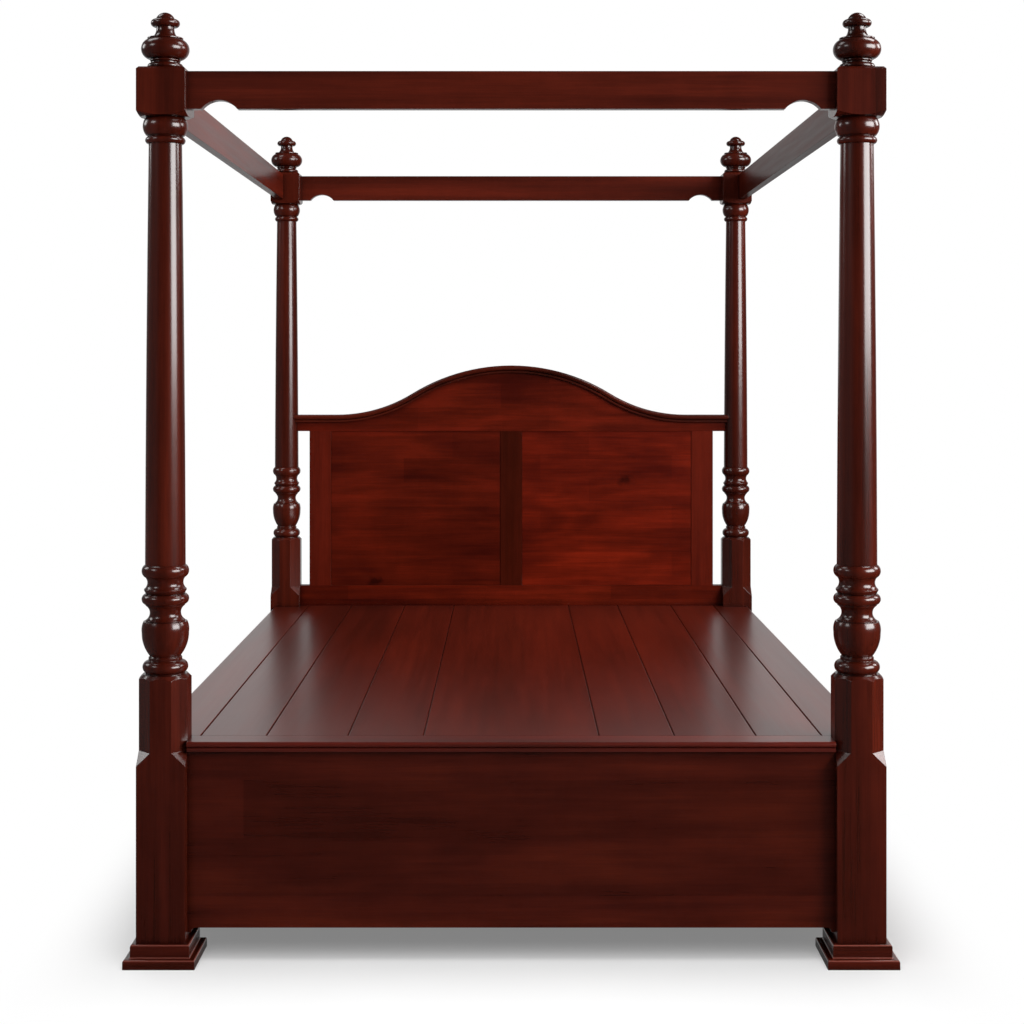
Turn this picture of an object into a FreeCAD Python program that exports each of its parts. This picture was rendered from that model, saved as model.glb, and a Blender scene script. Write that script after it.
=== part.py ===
import FreeCAD, Part
import math
import operator
import os
from types import SimpleNamespace

import Sketcher
from FreeCAD import Placement, Rotation, Vector

# A four-post canopy bed: turned posts with lift-off finials, a platform deck and a camelback headboard.
# The origin is on the floor at the middle of the bed. +X is to the right seen from the foot, +Y runs from
# the foot to the head and +Z is up. All sizes are in millimetres.

SIZES = [
    # Overall, over the outer faces of the posts and up to the tops of their blocks
    ("bed_width", 1676),
    ("bed_length", 2245),
    ("post_height", 2010),
    ("foot_stock", 110),
    ("head_stock", 100),
    # Lower post: square foot, then corners chamfered from pyramid stops up to a turned shoulder
    ("head_square_rise", 38),
    ("stop_height", 30),
    ("corner_chamfer", 31),
    ("chamfered_height", 170),
    ("shoulder_radius", 50),
    # Turned length of the lower post, from its base bead up to its top bead
    ("fillet_rise", 3),
    ("base_bead_edge", 44),
    ("base_bead_belly", 51),
    ("base_bead_rise", 25),
    ("vase_fillet_radius", 37.5),
    ("vase_fillet_rise", 6),
    ("vase_foot_radius", 34.5),
    ("vase_radius", 52.75),
    ("vase_swell_rise", 53),
    ("vase_crown_radius", 49),
    ("vase_crown_rise", 25),
    ("neck_radius", 44),
    ("neck_cove_depth", 9.25),
    ("neck_cove_rise", 33),
    ("ring_bead_edge", 46),
    ("ring_bead_belly", 53),
    ("ring_bead_rise", 23),
    ("quirk_radius", 43),
    ("quirk_ring_radius", 47.5),
    ("quirk_rise", 8),
    ("cove_edge", 45),
    ("cove_depth", 6),
    ("cove_rise", 27),
    ("top_bead_edge", 45.5),
    ("top_bead_belly", 53),
    ("top_bead_rise", 28),
    # Column above it: tapered shaft with a slight swell, collar ring, ball and square block
    ("shaft_foot_radius", 45.3),
    ("shaft_top_radius", 37.25),
    ("shaft_swell", 1.1),
    ("collar_rise", 5),
    ("collar_ring_edge", 39),
    ("collar_ring_belly", 45),
    ("collar_ring_rise", 16),
    ("ball_neck_radius", 41),
    ("ball_edge", 43),
    ("ball_belly", 50.5),
    ("ball_rise", 41),
    ("block_height", 108),
    ("block_shoulder_rise", 13),
    ("block_chamfer", 5),
    # Finial and the spigot that stands in the block's bore
    ("spigot_radius", 10),
    ("spigot_length", 40),
    ("spigot_clearance", 0.3),
    ("finial_base_edge", 35),
    ("finial_base_belly", 40),
    ("finial_base_rise", 14),
    ("finial_groove_radius", 31),
    ("finial_bead_belly", 34),
    ("finial_bead_rise", 7),
    ("bulb_edge", 37.5),
    ("bulb_belly", 54),
    ("bulb_rise", 45),
    ("finial_ledge_radius", 40),
    ("finial_neck_foot", 30.5),
    ("finial_neck_radius", 20.5),
    ("finial_neck_depth", 3.5),
    ("finial_neck_rise", 25),
    ("finial_ring_edge", 25),
    ("finial_ring_belly", 32.6),
    ("finial_ring_rise", 17),
    ("dome_radius", 21.5),
    ("dome_rise", 16),
    # Steel stud across the joint of the two post lengths
    ("stud_radius", 6),
    ("stud_length", 100),
    ("stud_clearance", 0.3),
    # Plinth moulding mitred round each post foot
    ("plinth_overhang", 25),
    ("plinth_step_height", 21),
    ("plinth_upper_overhang", 11),
    ("plinth_upper_height", 30),
    ("plinth_curve", 5),
    # Mortise and tenon joints
    ("tenon_length", 30),
    ("tenon_thickness", 12),
    ("tenon_shoulder", 13),
    ("joint_clearance", 0.3),
    # Canopy rails
    ("canopy_rail_height", 85),
    ("canopy_rail_thickness", 24),
    ("canopy_rail_drop", 8),
    ("canopy_rail_inset", 20),
    ("notch_offset", 32),
    ("notch_length", 81),
    ("notch_rise", 20),
    # Base: panels round the foot, sides and head, under the deck
    ("deck_height", 497),
    ("deck_thickness", 22),
    ("skirt_clearance", 77),
    ("panel_thickness", 24),
    ("foot_panel_inset", 28),
    ("corner_drop", 10),
    ("corner_drop_width", 18),
    ("side_rail_thickness", 28),
    ("side_rail_inset", 25),
    # Deck boards and nosing
    ("nosing_inset", 12),
    ("nosing_width", 70),
    ("nosing_band_height", 8),
    ("nosing_band_setback", 3),
    ("nosing_bead_setback", 6),
    ("deck_side_inset", 13),
    ("deck_gap", 1),
    ("deck_joint_chamfer", 2),
    ("inner_board_width", 172),
    ("middle_board_width", 186),
    ("outer_board_width", 150),
    ("side_board_width", 117),
    # Ledgers, bearers, centre beam and legs under the deck
    ("ledger_width", 60),
    ("ledger_height", 40),
    ("side_ledger_width", 40),
    ("bearer_width", 70),
    ("bearer_height", 45),
    ("bearer_count", 5),
    ("beam_width", 45),
    ("beam_height", 70),
    ("leg_width", 60),
    ("leg_count", 3),
    ("eased_edge", 3),
    # Steel hook plates in the side rails' ends and slotted plates in the posts
    ("plate_length", 150),
    ("plate_width", 22),
    ("plate_thickness", 3),
    ("plate_height", 276),
    ("hook_thickness", 4),
    ("hook_spacing", 70),
    ("hook_neck_height", 20),
    ("hook_lip_depth", 6),
    ("hook_lip_drop", 14),
    ("slot_height", 38),
    ("slot_clearance", 0.5),
    ("hook_pocket_depth", 20),
    ("hook_pocket_width", 12),
    # Headboard
    ("headboard_gap", 32),
    ("headboard_thickness", 32),
    ("stile_width", 75),
    ("muntin_width", 75),
    ("bottom_rail_top", 567),
    ("bottom_rail_height", 147),
    ("opening_height", 540),
    ("field_thickness", 20),
    ("field_recess", 1.5),
    ("tongue_thickness", 10),
    ("tongue_length", 9),
    ("tongue_play", 1),
    ("crest_end_height", 32),
    ("arch_rise", 173),
    ("arch_half_span", 612),
    ("arch_shoulder_radius", 535),
    ("cap_thickness", 25),
    ("cap_overhang", 15),
    ("cap_band_height", 6),
    ("cap_band_setback", 5),
    ("cap_bead_setback", 8),
    ("crest_tenon_height", 20),
    ("crest_tenon_bite", 22),
    # How far a cutting outline runs past the wood that it cuts
    ("cut_margin", 8),
]

SIGNS = {"+": operator.add, "-": operator.sub, "*": operator.mul, "/": operator.truediv}
LEFT, RIGHT = -1, 1
FOOT, HEAD = -1, 1
SIDE_NAMES = {LEFT: "left", RIGHT: "right"}
END_NAMES = {FOOT: "foot", HEAD: "head"}
CORNERS = [(side, end) for end in (FOOT, HEAD) for side in (LEFT, RIGHT)]
QUARTER_BULGE = math.tan(math.radians(90) / 4)

doc = FreeCAD.newDocument("canopy_bed")
sheet = doc.addObject("Spreadsheet::Sheet", "sizes")
sub_parts = []


class Dim:
    """A size that carries both its number and the sheet formula that gives it."""

    def __init__(self, number, formula):
        self.number = number
        self.formula = formula

    def __add__(self, other):
        return combine(self, "+", other)

    def __radd__(self, other):
        return combine(other, "+", self)

    def __sub__(self, other):
        return combine(self, "-", other)

    def __rsub__(self, other):
        return combine(other, "-", self)

    def __mul__(self, other):
        return combine(self, "*", other)

    def __rmul__(self, other):
        return combine(other, "*", self)

    def __truediv__(self, other):
        return combine(self, "/", other)

    def __rtruediv__(self, other):
        return combine(other, "/", self)

    def __neg__(self):
        return combine(-1, "*", self)


def as_dim(amount):
    return amount if isinstance(amount, Dim) else Dim(float(amount), repr(float(amount)))


def combine(left, sign, right):
    left = as_dim(left)
    right = as_dim(right)
    return Dim(SIGNS[sign](left.number, right.number), f"({left.formula} {sign} {right.formula})")


def root(amount):
    return Dim(math.sqrt(amount.number), f"sqrt({amount.formula})")


def half_angle(tangent):
    """The tangent of half the angle that has this tangent."""
    return (root(1 + tangent * tangent) - 1) / tangent


def fill_sheet():
    for row, (alias, number) in enumerate(SIZES, start=1):
        sheet.set(f"A{row}", alias)
        sheet.set(f"B{row}", str(number))
        sheet.setAlias(f"B{row}", alias)
    doc.recompute()
    return SimpleNamespace(**{alias: Dim(float(number), f"sizes.{alias}") for alias, number in SIZES})


size = fill_sheet()


# Helpers for sketches and features

def bind(thing, path, amount):
    thing.setExpression(path, as_dim(amount).formula)


def bind_place(thing, x, y, z):
    for axis, amount in zip("xyz", (x, y, z)):
        bind(thing, f"Placement.Base.{axis}", amount)


def new_body(label, x, y, z):
    body = doc.addObject("PartDesign::Body", label)
    body.Label = label
    bind_place(body, x, y, z)
    return body


def new_sub_part(label, x, y, z):
    body = new_body(label, x, y, z)
    sub_parts.append(body)
    return body


def group(label, members, x=0, y=0, z=0):
    """Like pieces kept as separate solids of one sub-part."""
    compound = doc.addObject("Part::Compound", label)
    compound.Label = label
    compound.Links = members
    bind_place(compound, x, y, z)
    sub_parts.append(compound)
    return compound


def arc_centre(begin, finish, bulge):
    """Centre of the arc between two points; the bulge is the tangent of a quarter of its angle."""
    lean = (1 - bulge * bulge) / (4 * bulge)
    across = (begin[0] + finish[0]) / 2 - lean * (finish[1] - begin[1])
    up = (begin[1] + finish[1]) / 2 + lean * (finish[0] - begin[0])
    return across, up


def edge_shape(begin, finish, bulge):
    start = Vector(begin[0].number, begin[1].number, 0)
    end = Vector(finish[0].number, finish[1].number, 0)
    if bulge is None:
        return Part.LineSegment(start, end)
    across, up = arc_centre(begin, finish, bulge)
    centre = Vector(across.number, up.number, 0)
    if bulge.number < 0:
        start, end = end, start
    from_angle = math.atan2(start.y - centre.y, start.x - centre.x)
    to_angle = math.atan2(end.y - centre.y, end.x - centre.x)
    circle = Part.Circle(centre, Vector(0, 0, 1), (start - centre).Length)
    return Part.ArcOfCircle(circle, from_angle, to_angle)


def draw(sketch, corners, closed=True):
    """Draws an outline through corners (across, up) or (across, up, bulge of the arc that leads there)."""
    points = [(as_dim(corner[0]), as_dim(corner[1])) for corner in corners]
    bulges = [as_dim(corner[2]) if len(corner) > 2 else None for corner in corners]
    first_run = 0 if closed else 1
    runs = range(first_run, len(points))
    first_edge = sketch.GeometryCount
    sketch.addGeometry([edge_shape(points[run - 1], points[run], bulges[run]) for run in runs], False)

    constraints = []
    formulas = {}

    def fix(edge, spot, point):
        for kind, amount in zip(("DistanceX", "DistanceY"), point):
            fix_along(kind, edge, spot, amount)

    def fix_along(kind, edge, spot, amount):
        formulas[len(constraints)] = amount.formula
        constraints.append(Sketcher.Constraint(kind, -1, 1, edge, spot, amount.number))

    for place, run in enumerate(runs):
        edge = first_edge + place
        bulge = bulges[run]
        turned = bulge is not None and bulge.number < 0
        start_spot, end_spot = (2, 1) if turned else (1, 2)
        begin, finish = points[run - 1], points[run]
        fix(edge, start_spot, begin)
        fix(edge, end_spot, finish)
        if bulge is not None:
            across, up = arc_centre(begin, finish, bulge)
            steep = abs(finish[1].number - begin[1].number) >= abs(finish[0].number - begin[0].number)
            fix_along("DistanceX" if steep else "DistanceY", edge, 3, across if steep else up)
    first_constraint = sketch.ConstraintCount
    sketch.addConstraint(constraints)
    for place, formula in formulas.items():
        sketch.setExpression(f"Constraints[{first_constraint + place}]", formula)


def mirrored(corners):
    """The same outline reflected across the upright axis."""
    return [(-as_dim(across), up, *(-as_dim(bulge) for bulge in rest)) for across, up, *rest in corners]


def new_sketch(body, role, name, corners, offset=0, turn=0, closed=True):
    sketch = body.newObject("Sketcher::SketchObject", f"{body.Name}_{name}")
    plane = next(feature for feature in body.Origin.OriginFeatures if feature.Role == role)
    sketch.AttachmentSupport = [(plane, "")]
    sketch.MapMode = "FlatFace"
    sketch.AttachmentOffset = Placement(Vector(), Rotation(Vector(0, 1, 0), turn))
    bind(sketch, "AttachmentOffset.Base.z", offset)
    draw(sketch, corners, closed)
    return sketch


def pad(body, name, sketch, length):
    """A board of even thickness, half to each side of its sketch."""
    feature = body.newObject("PartDesign::Pad", f"{body.Name}_{name}")
    feature.Profile = sketch
    feature.SideType = "Symmetric"
    bind(feature, "Length", length)
    return feature


def pocket(body, name, sketch, length):
    """A cut that runs half to each side of its sketch."""
    feature = body.newObject("PartDesign::Pocket", f"{body.Name}_{name}")
    feature.Profile = sketch
    feature.SideType = "Symmetric"
    bind(feature, "Length", length)
    return feature


def lathe(body, kind, name, sketch):
    """A full turn of a sketch about the body's upright axis, added or cut away."""
    feature = body.newObject(f"PartDesign::{kind}", f"{body.Name}_{name}")
    feature.Profile = sketch
    feature.ReferenceAxis = (sketch, ["V_Axis"])
    feature.Angle = 360
    return feature


def block_feature(body, kind, name, x, y, z):
    """A box between two limits on each axis, added to the body or cut from it."""
    feature = body.newObject(f"PartDesign::{kind}Box", f"{body.Name}_{name}")
    for side, limits in zip(("Length", "Width", "Height"), (x, y, z)):
        bind(feature, side, as_dim(limits[1]) - limits[0])
    bind_place(feature, x[0], y[0], z[0])
    return feature


def bore(body, name, radius, bottom, depth):
    feature = body.newObject("PartDesign::SubtractiveCylinder", f"{body.Name}_{name}")
    bind(feature, "Radius", radius)
    bind(feature, "Height", depth)
    bind_place(feature, 0, 0, bottom)
    return feature


def toward(sign, near, far):
    """Limits of a stretch that starts near the middle of the bed, on the side that the sign names."""
    return (near, far) if sign > 0 else (-far, -near)


def about(middle, width):
    return middle - width / 2, middle + width / 2


def grown(limits, clearance):
    return limits[0] - clearance, limits[1] + clearance


def chamfer_edges(body, name, feature, wanted, amount):
    """Chamfers the feature's straight edges that the given test picks out."""
    doc.recompute()
    names = []
    for number, edge in enumerate(feature.Shape.Edges, start=1):
        if isinstance(edge.Curve, Part.Line) and wanted(edge):
            names.append(f"Edge{number}")
    chamfer = body.newObject("PartDesign::Chamfer", f"{body.Name}_{name}")
    chamfer.Base = (feature, names)
    bind(chamfer, "Size", amount)
    return chamfer


# Places that several pieces share

half_width = size.bed_width / 2
half_length = size.bed_length / 2
stock = {FOOT: size.foot_stock, HEAD: size.head_stock}
deck_under = size.deck_height - size.deck_thickness
square_height = {FOOT: deck_under - size.stop_height, HEAD: size.deck_height + size.head_square_rise}
slimness = {FOOT: Dim(1.0, "1.0"), HEAD: size.head_stock / size.foot_stock}
axis_x = {end: half_width - stock[end] / 2 for end in (FOOT, HEAD)}
axis_y = {end: half_length - stock[end] / 2 for end in (FOOT, HEAD)}
inner_x = {end: half_width - stock[end] for end in (FOOT, HEAD)}
inner_y = {end: half_length - stock[end] for end in (FOOT, HEAD)}
block_bottom = size.post_height - size.block_height
canopy_top = size.post_height - size.canopy_rail_drop
canopy_bottom = canopy_top - size.canopy_rail_height
canopy_middle = size.canopy_rail_inset + size.canopy_rail_thickness / 2
canopy_tenon_z = (canopy_bottom + size.tenon_shoulder, canopy_top - size.tenon_shoulder)
foot_panel_y = half_length - size.foot_panel_inset - size.panel_thickness / 2
headboard_y = axis_y[HEAD]
skirt_tenon_z = (size.skirt_clearance + size.tenon_shoulder, deck_under - size.tenon_shoulder)
bottom_rail_foot = size.bottom_rail_top - size.bottom_rail_height
bottom_rail_tenon_z = (bottom_rail_foot + size.tenon_shoulder, size.bottom_rail_top - size.tenon_shoulder)
head_panel_tenon_z = (size.skirt_clearance + size.tenon_shoulder, bottom_rail_foot - size.tenon_shoulder)
side_rail_x = half_width - size.side_rail_inset - size.side_rail_thickness / 2
crest_foot = size.bottom_rail_top + size.opening_height
crest_tenon_z = about(crest_foot + size.crest_end_height / 2, size.crest_tenon_height)


def plain(rise, radius):
    """A straight step of a turning, as (rise, radius at its top, how far its arc swells)."""
    return rise, radius, None


def bead(rise, edge, belly):
    return rise, edge, belly - edge


def cove(rise, edge, depth):
    return rise, edge, -depth


def slimmed(steps, slim):
    """The same steps with every radius scaled to slimmer stock."""
    return [(rise, radius * slim, None if swell is None else swell * slim) for rise, radius, swell in steps]


def lower_turning(slim):
    """Steps up the lower post, from the base bead through the vase to the top bead."""
    vase_swell = (size.vase_radius - size.vase_foot_radius) / 4
    crown_swell = (size.vase_radius - size.vase_crown_radius) / 2
    return slimmed([
        plain(size.fillet_rise, size.base_bead_edge),
        bead(size.base_bead_rise, size.base_bead_edge, size.base_bead_belly),
        plain(size.fillet_rise, size.vase_fillet_radius),
        plain(size.vase_fillet_rise, size.vase_fillet_radius),
        plain(size.fillet_rise, size.vase_foot_radius),
        (size.vase_swell_rise, size.vase_radius, vase_swell),
        (size.vase_crown_rise, size.vase_crown_radius, crown_swell),
        plain(0, size.neck_radius),
        plain(size.fillet_rise, size.neck_radius),
        cove(size.neck_cove_rise, size.neck_radius, size.neck_cove_depth),
        plain(size.fillet_rise, size.neck_radius),
        plain(0, size.ring_bead_edge),
        bead(size.ring_bead_rise, size.ring_bead_edge, size.ring_bead_belly),
        plain(0, size.quirk_radius),
        plain(size.quirk_rise, size.quirk_ring_radius),
        plain(size.fillet_rise, size.quirk_ring_radius),
        cove(size.cove_rise, size.cove_edge, size.cove_depth),
        plain(0, size.top_bead_edge),
        bead(size.top_bead_rise, size.top_bead_edge, size.top_bead_belly),
    ], slim)


def upper_turning(slim, shaft_rise):
    """Steps up the column, from the shaft's foot to the underside of the block."""
    return slimmed([
        (shaft_rise, size.shaft_top_radius, size.shaft_swell),
        plain(size.collar_rise, size.shaft_top_radius),
        plain(0, size.collar_ring_edge),
        bead(size.collar_ring_rise, size.collar_ring_edge, size.collar_ring_belly),
        plain(size.fillet_rise, size.ball_neck_radius),
        plain(0, size.ball_edge),
        bead(size.ball_rise, size.ball_edge, size.ball_belly),
    ], slim)


def total_rise(steps):
    total = Dim(0.0, "0.0")
    for rise, _, _ in steps:
        total = total + rise
    return total


def turned_outline(foot_z, foot_radius, steps):
    """Half section of a turning, from the axis out, up through its steps and back to the axis."""
    corners = [(0, foot_z), (foot_radius, foot_z)]
    level = as_dim(foot_z)
    for rise, radius, swell in steps:
        level = level + rise
        bulge = () if swell is None else (2 * swell / rise,)
        corners.append((radius, level, *bulge))
    corners.append((0, level))
    return corners


chamfered_foot = {end: square_height[end] + size.stop_height for end in (FOOT, HEAD)}
chamfered_top = {end: chamfered_foot[end] + size.chamfered_height for end in (FOOT, HEAD)}
joint_z = {end: chamfered_top[end] + total_rise(lower_turning(slimness[end])) for end in (FOOT, HEAD)}
collar_rises = total_rise(upper_turning(slimness[FOOT], 0))
shaft_top = block_bottom - collar_rises


# Posts

def mortise(body, side, end, name, along, across, z):
    """A blind slot in the post's face toward the bed's middle, in bed positions from that middle."""
    x = toward(side, along[0] - axis_x[end], along[1] - axis_x[end])
    y = toward(end, across[0] - axis_y[end], across[1] - axis_y[end])
    block_feature(body, "Subtractive", name, x, y, grown(z, size.joint_clearance))


def mortise_across(body, side, end, name, middle_y, z):
    """A slot for a rail that runs from post to post across the bed."""
    along = (inner_x[end], inner_x[end] + size.tenon_length + size.joint_clearance)
    across = grown(about(middle_y, size.tenon_thickness), size.joint_clearance)
    mortise(body, side, end, name, along, across, z)


def chamfer_corners(body, end):
    """Takes off the post's four corners, each from a pyramid stop up to the turned shoulder."""
    corner = stock[end] / math.sqrt(2)
    flat = corner - size.corner_chamfer / math.sqrt(2)
    outside = corner + size.cut_margin
    top = chamfered_top[end] + size.cut_margin
    outline = [
        (flat, chamfered_foot[end]),
        (corner, square_height[end]),
        (outside, square_height[end]),
        (outside, top),
        (flat, top),
    ]
    sketch = new_sketch(body, "XZ_Plane", "stop", outline, turn=45)
    cut = pocket(body, "corner", sketch, stock[end])
    around = body.newObject("PartDesign::PolarPattern", f"{body.Name}_corners")
    around.Originals = [cut]
    around.Axis = (sketch, ["V_Axis"])
    around.Angle = 360
    around.Occurrences = 4
    body.Tip = around


def turn_shoulder(body, name, radius, level, rise, reach):
    """Turns the corners of a square length down to a cone that starts at the given radius and level."""
    outline = [(radius, level), (radius + reach, level), (radius + reach, level + rise)]
    lathe(body, "Groove", name, new_sketch(body, "XZ_Plane", name, outline))


def cut_plate_seat(body, side, end):
    """Recess for the slotted plate in the face toward the side rail, and room behind it for the hooks."""
    x = toward(side, *(limit - axis_x[end] for limit in about(side_rail_x, size.plate_width)))
    pocket_x = toward(side, *(limit - axis_x[end] for limit in about(side_rail_x, size.hook_pocket_width)))
    face = -stock[end] / 2
    z = about(size.plate_height, size.plate_length)
    margin = size.plate_width / 2
    pocket_z = (z[0] + margin, z[1] - margin)
    block_feature(body, "Subtractive", "plate_seat", x, toward(end, face, face + size.plate_thickness), z)
    block_feature(body, "Subtractive", "hook_room", pocket_x,
                  toward(end, face, face + size.hook_pocket_depth), pocket_z)


def make_lower_post(side, end):
    label = f"{END_NAMES[end]}_post_{SIDE_NAMES[side]}"
    body = new_sub_part(label, side * axis_x[end], end * axis_y[end], 0)
    slim = slimness[end]
    sides = (-stock[end] / 2, stock[end] / 2)
    block_feature(body, "Additive", "square", sides, sides, (0, chamfered_top[end]))
    chamfer_corners(body, end)
    reach = stock[end] / 4
    turn_shoulder(body, "shoulder", size.shoulder_radius * slim, chamfered_top[end], -reach, reach)
    start = chamfered_top[end] - size.cut_margin
    steps = [plain(size.cut_margin, size.base_bead_edge * slim)] + lower_turning(slim)
    outline = turned_outline(start, size.base_bead_edge * slim, steps)
    lathe(body, "Revolution", "turning", new_sketch(body, "XZ_Plane", "profile", outline))
    stud_depth = size.stud_length / 2
    bore(body, "stud_bore", size.stud_radius + size.stud_clearance, joint_z[end] - stud_depth, stud_depth)
    cut_plate_seat(body, side, end)
    if end == FOOT:
        mortise_across(body, side, end, "panel_mortise", foot_panel_y, skirt_tenon_z)
    else:
        mortise_across(body, side, end, "rail_mortise", headboard_y, bottom_rail_tenon_z)
        mortise_across(body, side, end, "panel_mortise", headboard_y, head_panel_tenon_z)


def make_column(side, end):
    label = f"{END_NAMES[end]}_column_{SIDE_NAMES[side]}"
    body = new_sub_part(label, side * axis_x[end], end * axis_y[end], 0)
    slim = slimness[end]
    sides = (-stock[end] / 2, stock[end] / 2)
    block = block_feature(body, "Additive", "block", sides, sides, (block_bottom, size.post_height))
    top = size.post_height.number
    chamfer_edges(body, "block_edges", block, lambda edge: edge.BoundBox.ZMin > top - 1, size.block_chamfer)
    corner_reach = (math.sqrt(2) - 1) * stock[end] / 2 + size.cut_margin
    turn_shoulder(body, "shoulder", stock[end] / 2, block_bottom, size.block_shoulder_rise, corner_reach)
    steps = upper_turning(slim, shaft_top - joint_z[end]) + [plain(size.cut_margin, size.ball_edge * slim)]
    outline = turned_outline(joint_z[end], size.shaft_foot_radius * slim, steps)
    lathe(body, "Revolution", "turning", new_sketch(body, "XZ_Plane", "profile", outline))
    bore(body, "stud_bore", size.stud_radius + size.stud_clearance, joint_z[end], size.stud_length / 2)
    depth = size.spigot_length + size.spigot_clearance
    bore(body, "spigot_bore", size.spigot_radius + size.spigot_clearance, size.post_height - depth, depth)
    mortise_across(body, side, end, "end_rail_mortise", half_length - canopy_middle, canopy_tenon_z)
    rail_x = grown(about(half_width - canopy_middle, size.tenon_thickness), size.joint_clearance)
    rail_y = (inner_y[end], inner_y[end] + size.tenon_length + size.joint_clearance)
    mortise(body, side, end, "side_rail_mortise", rail_x, rail_y, canopy_tenon_z)
    if end == HEAD:
        bite = (inner_x[end], axis_x[end] - size.shaft_foot_radius * slim + size.crest_tenon_bite
                + size.joint_clearance)
        across = grown(about(headboard_y, size.tenon_thickness), size.joint_clearance)
        mortise(body, side, end, "crest_mortise", bite, across, crest_tenon_z)


def make_stud(side, end):
    stud = doc.addObject("Part::Cylinder", f"stud_{END_NAMES[end]}_{SIDE_NAMES[side]}")
    bind(stud, "Radius", size.stud_radius)
    bind(stud, "Height", size.stud_length)
    bind_place(stud, side * axis_x[end], end * axis_y[end], joint_z[end] - size.stud_length / 2)
    return stud


def make_finial(side, end):
    label = f"finial_{END_NAMES[end]}_{SIDE_NAMES[side]}"
    body = new_sub_part(label, side * axis_x[end], end * axis_y[end], size.post_height)
    steps = [
        plain(size.spigot_length, size.spigot_radius),
        plain(0, size.finial_base_edge),
        bead(size.finial_base_rise, size.finial_base_edge, size.finial_base_belly),
        plain(0, size.finial_groove_radius),
        plain(size.fillet_rise, size.finial_groove_radius),
        bead(size.finial_bead_rise, size.finial_groove_radius, size.finial_bead_belly),
        plain(0, size.bulb_edge),
        bead(size.bulb_rise, size.bulb_edge, size.bulb_belly),
        plain(0, size.finial_ledge_radius),
        plain(size.fillet_rise, size.finial_ledge_radius),
        plain(0, size.finial_neck_foot),
        cove(size.finial_neck_rise, size.finial_neck_radius, size.finial_neck_depth),
        plain(0, size.finial_ring_edge),
        bead(size.finial_ring_rise, size.finial_ring_edge, size.finial_ring_belly),
        plain(0, size.dome_radius),
    ]
    outline = turned_outline(-size.spigot_length, size.spigot_radius, steps)
    base = outline.pop()
    outline.append((0, base[1] + size.dome_rise, half_angle(size.dome_rise / size.dome_radius)))
    lathe(body, "Revolution", "turning", new_sketch(body, "XZ_Plane", "profile", outline))


def make_plinth_length(end, name, turn):
    """One side of a plinth: a stepped moulding against the post, mitred at both ends."""
    body = new_body(name, 0, 0, 0)
    body.Placement.Rotation = Rotation(Vector(0, 0, 1), turn)
    face = stock[end] / 2
    curve = size.plinth_curve
    step_top = size.plinth_step_height
    upper_top = step_top + size.plinth_upper_height
    upper = face + size.plinth_upper_overhang
    outside = face + size.plinth_overhang
    outline = [
        (face, 0),
        (outside, 0),
        (outside, step_top - curve),
        (outside - curve, step_top, QUARTER_BULGE),
        (upper + curve, step_top),
        (upper, step_top + curve, -QUARTER_BULGE),
        (upper, upper_top - curve),
        (upper - curve, upper_top, QUARTER_BULGE),
        (face, upper_top),
    ]
    pad(body, "moulding", new_sketch(body, "YZ_Plane", "section", outline), 2 * outside)
    far = outside + size.cut_margin
    near = face - size.cut_margin
    for side in (LEFT, RIGHT):
        mitre = [(side * near, near), (side * far, near), (side * far, far)]
        sketch = new_sketch(body, "XY_Plane", f"mitre_{SIDE_NAMES[side]}", mitre)
        pocket(body, f"mitre_cut_{SIDE_NAMES[side]}", sketch, 4 * upper_top)
    return body


def make_plinth(side, end):
    label = f"plinth_{END_NAMES[end]}_{SIDE_NAMES[side]}"
    lengths = [make_plinth_length(end, f"{label}_length_{turn}", turn) for turn in (0, 90, 180, 270)]
    group(label, lengths, side * axis_x[end], end * axis_y[end], 0)


def add_end_tenons(body, reach, z):
    """A tenon on each end of a piece that runs across the bed between two posts."""
    y = (-size.tenon_thickness / 2, size.tenon_thickness / 2)
    for side in (LEFT, RIGHT):
        x = toward(side, reach, reach + size.tenon_length)
        block_feature(body, "Additive", f"tenon_{SIDE_NAMES[side]}", x, y, z)


# Canopy rails

def make_end_canopy_rail(end):
    """Rail across the foot or head, with an arched notch near each end of its lower edge."""
    middle_y = end * (half_length - canopy_middle)
    body = new_sub_part(f"canopy_rail_{END_NAMES[end]}", 0, middle_y, canopy_bottom)
    reach = inner_x[end]
    notch_near = reach - size.notch_offset - size.notch_length
    notch_far = reach - size.notch_offset
    notch_bulge = -2 * size.notch_rise / size.notch_length
    outline = [
        (-reach, 0),
        (-notch_far, 0),
        (-notch_near, 0, notch_bulge),
        (notch_near, 0),
        (notch_far, 0, notch_bulge),
        (reach, 0),
        (reach, size.canopy_rail_height),
        (-reach, size.canopy_rail_height),
    ]
    pad(body, "board", new_sketch(body, "XZ_Plane", "outline", outline), size.canopy_rail_thickness)
    add_end_tenons(body, reach, tuple(limit - canopy_bottom for limit in canopy_tenon_z))


def make_side_canopy_rail(side):
    """Plain rail from the foot block to the head block."""
    middle_x = side * (half_width - canopy_middle)
    body = new_sub_part(f"canopy_rail_{SIDE_NAMES[side]}", middle_x, 0, canopy_bottom)
    outline = [
        (-inner_y[FOOT], 0),
        (inner_y[HEAD], 0),
        (inner_y[HEAD], size.canopy_rail_height),
        (-inner_y[FOOT], size.canopy_rail_height),
    ]
    pad(body, "board", new_sketch(body, "YZ_Plane", "outline", outline), size.canopy_rail_thickness)
    z = tuple(limit - canopy_bottom for limit in canopy_tenon_z)
    x = (-size.tenon_thickness / 2, size.tenon_thickness / 2)
    for end in (FOOT, HEAD):
        y = toward(end, inner_y[end], inner_y[end] + size.tenon_length)
        block_feature(body, "Additive", f"tenon_{END_NAMES[end]}", x, y, z)


# Base under the deck

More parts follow.
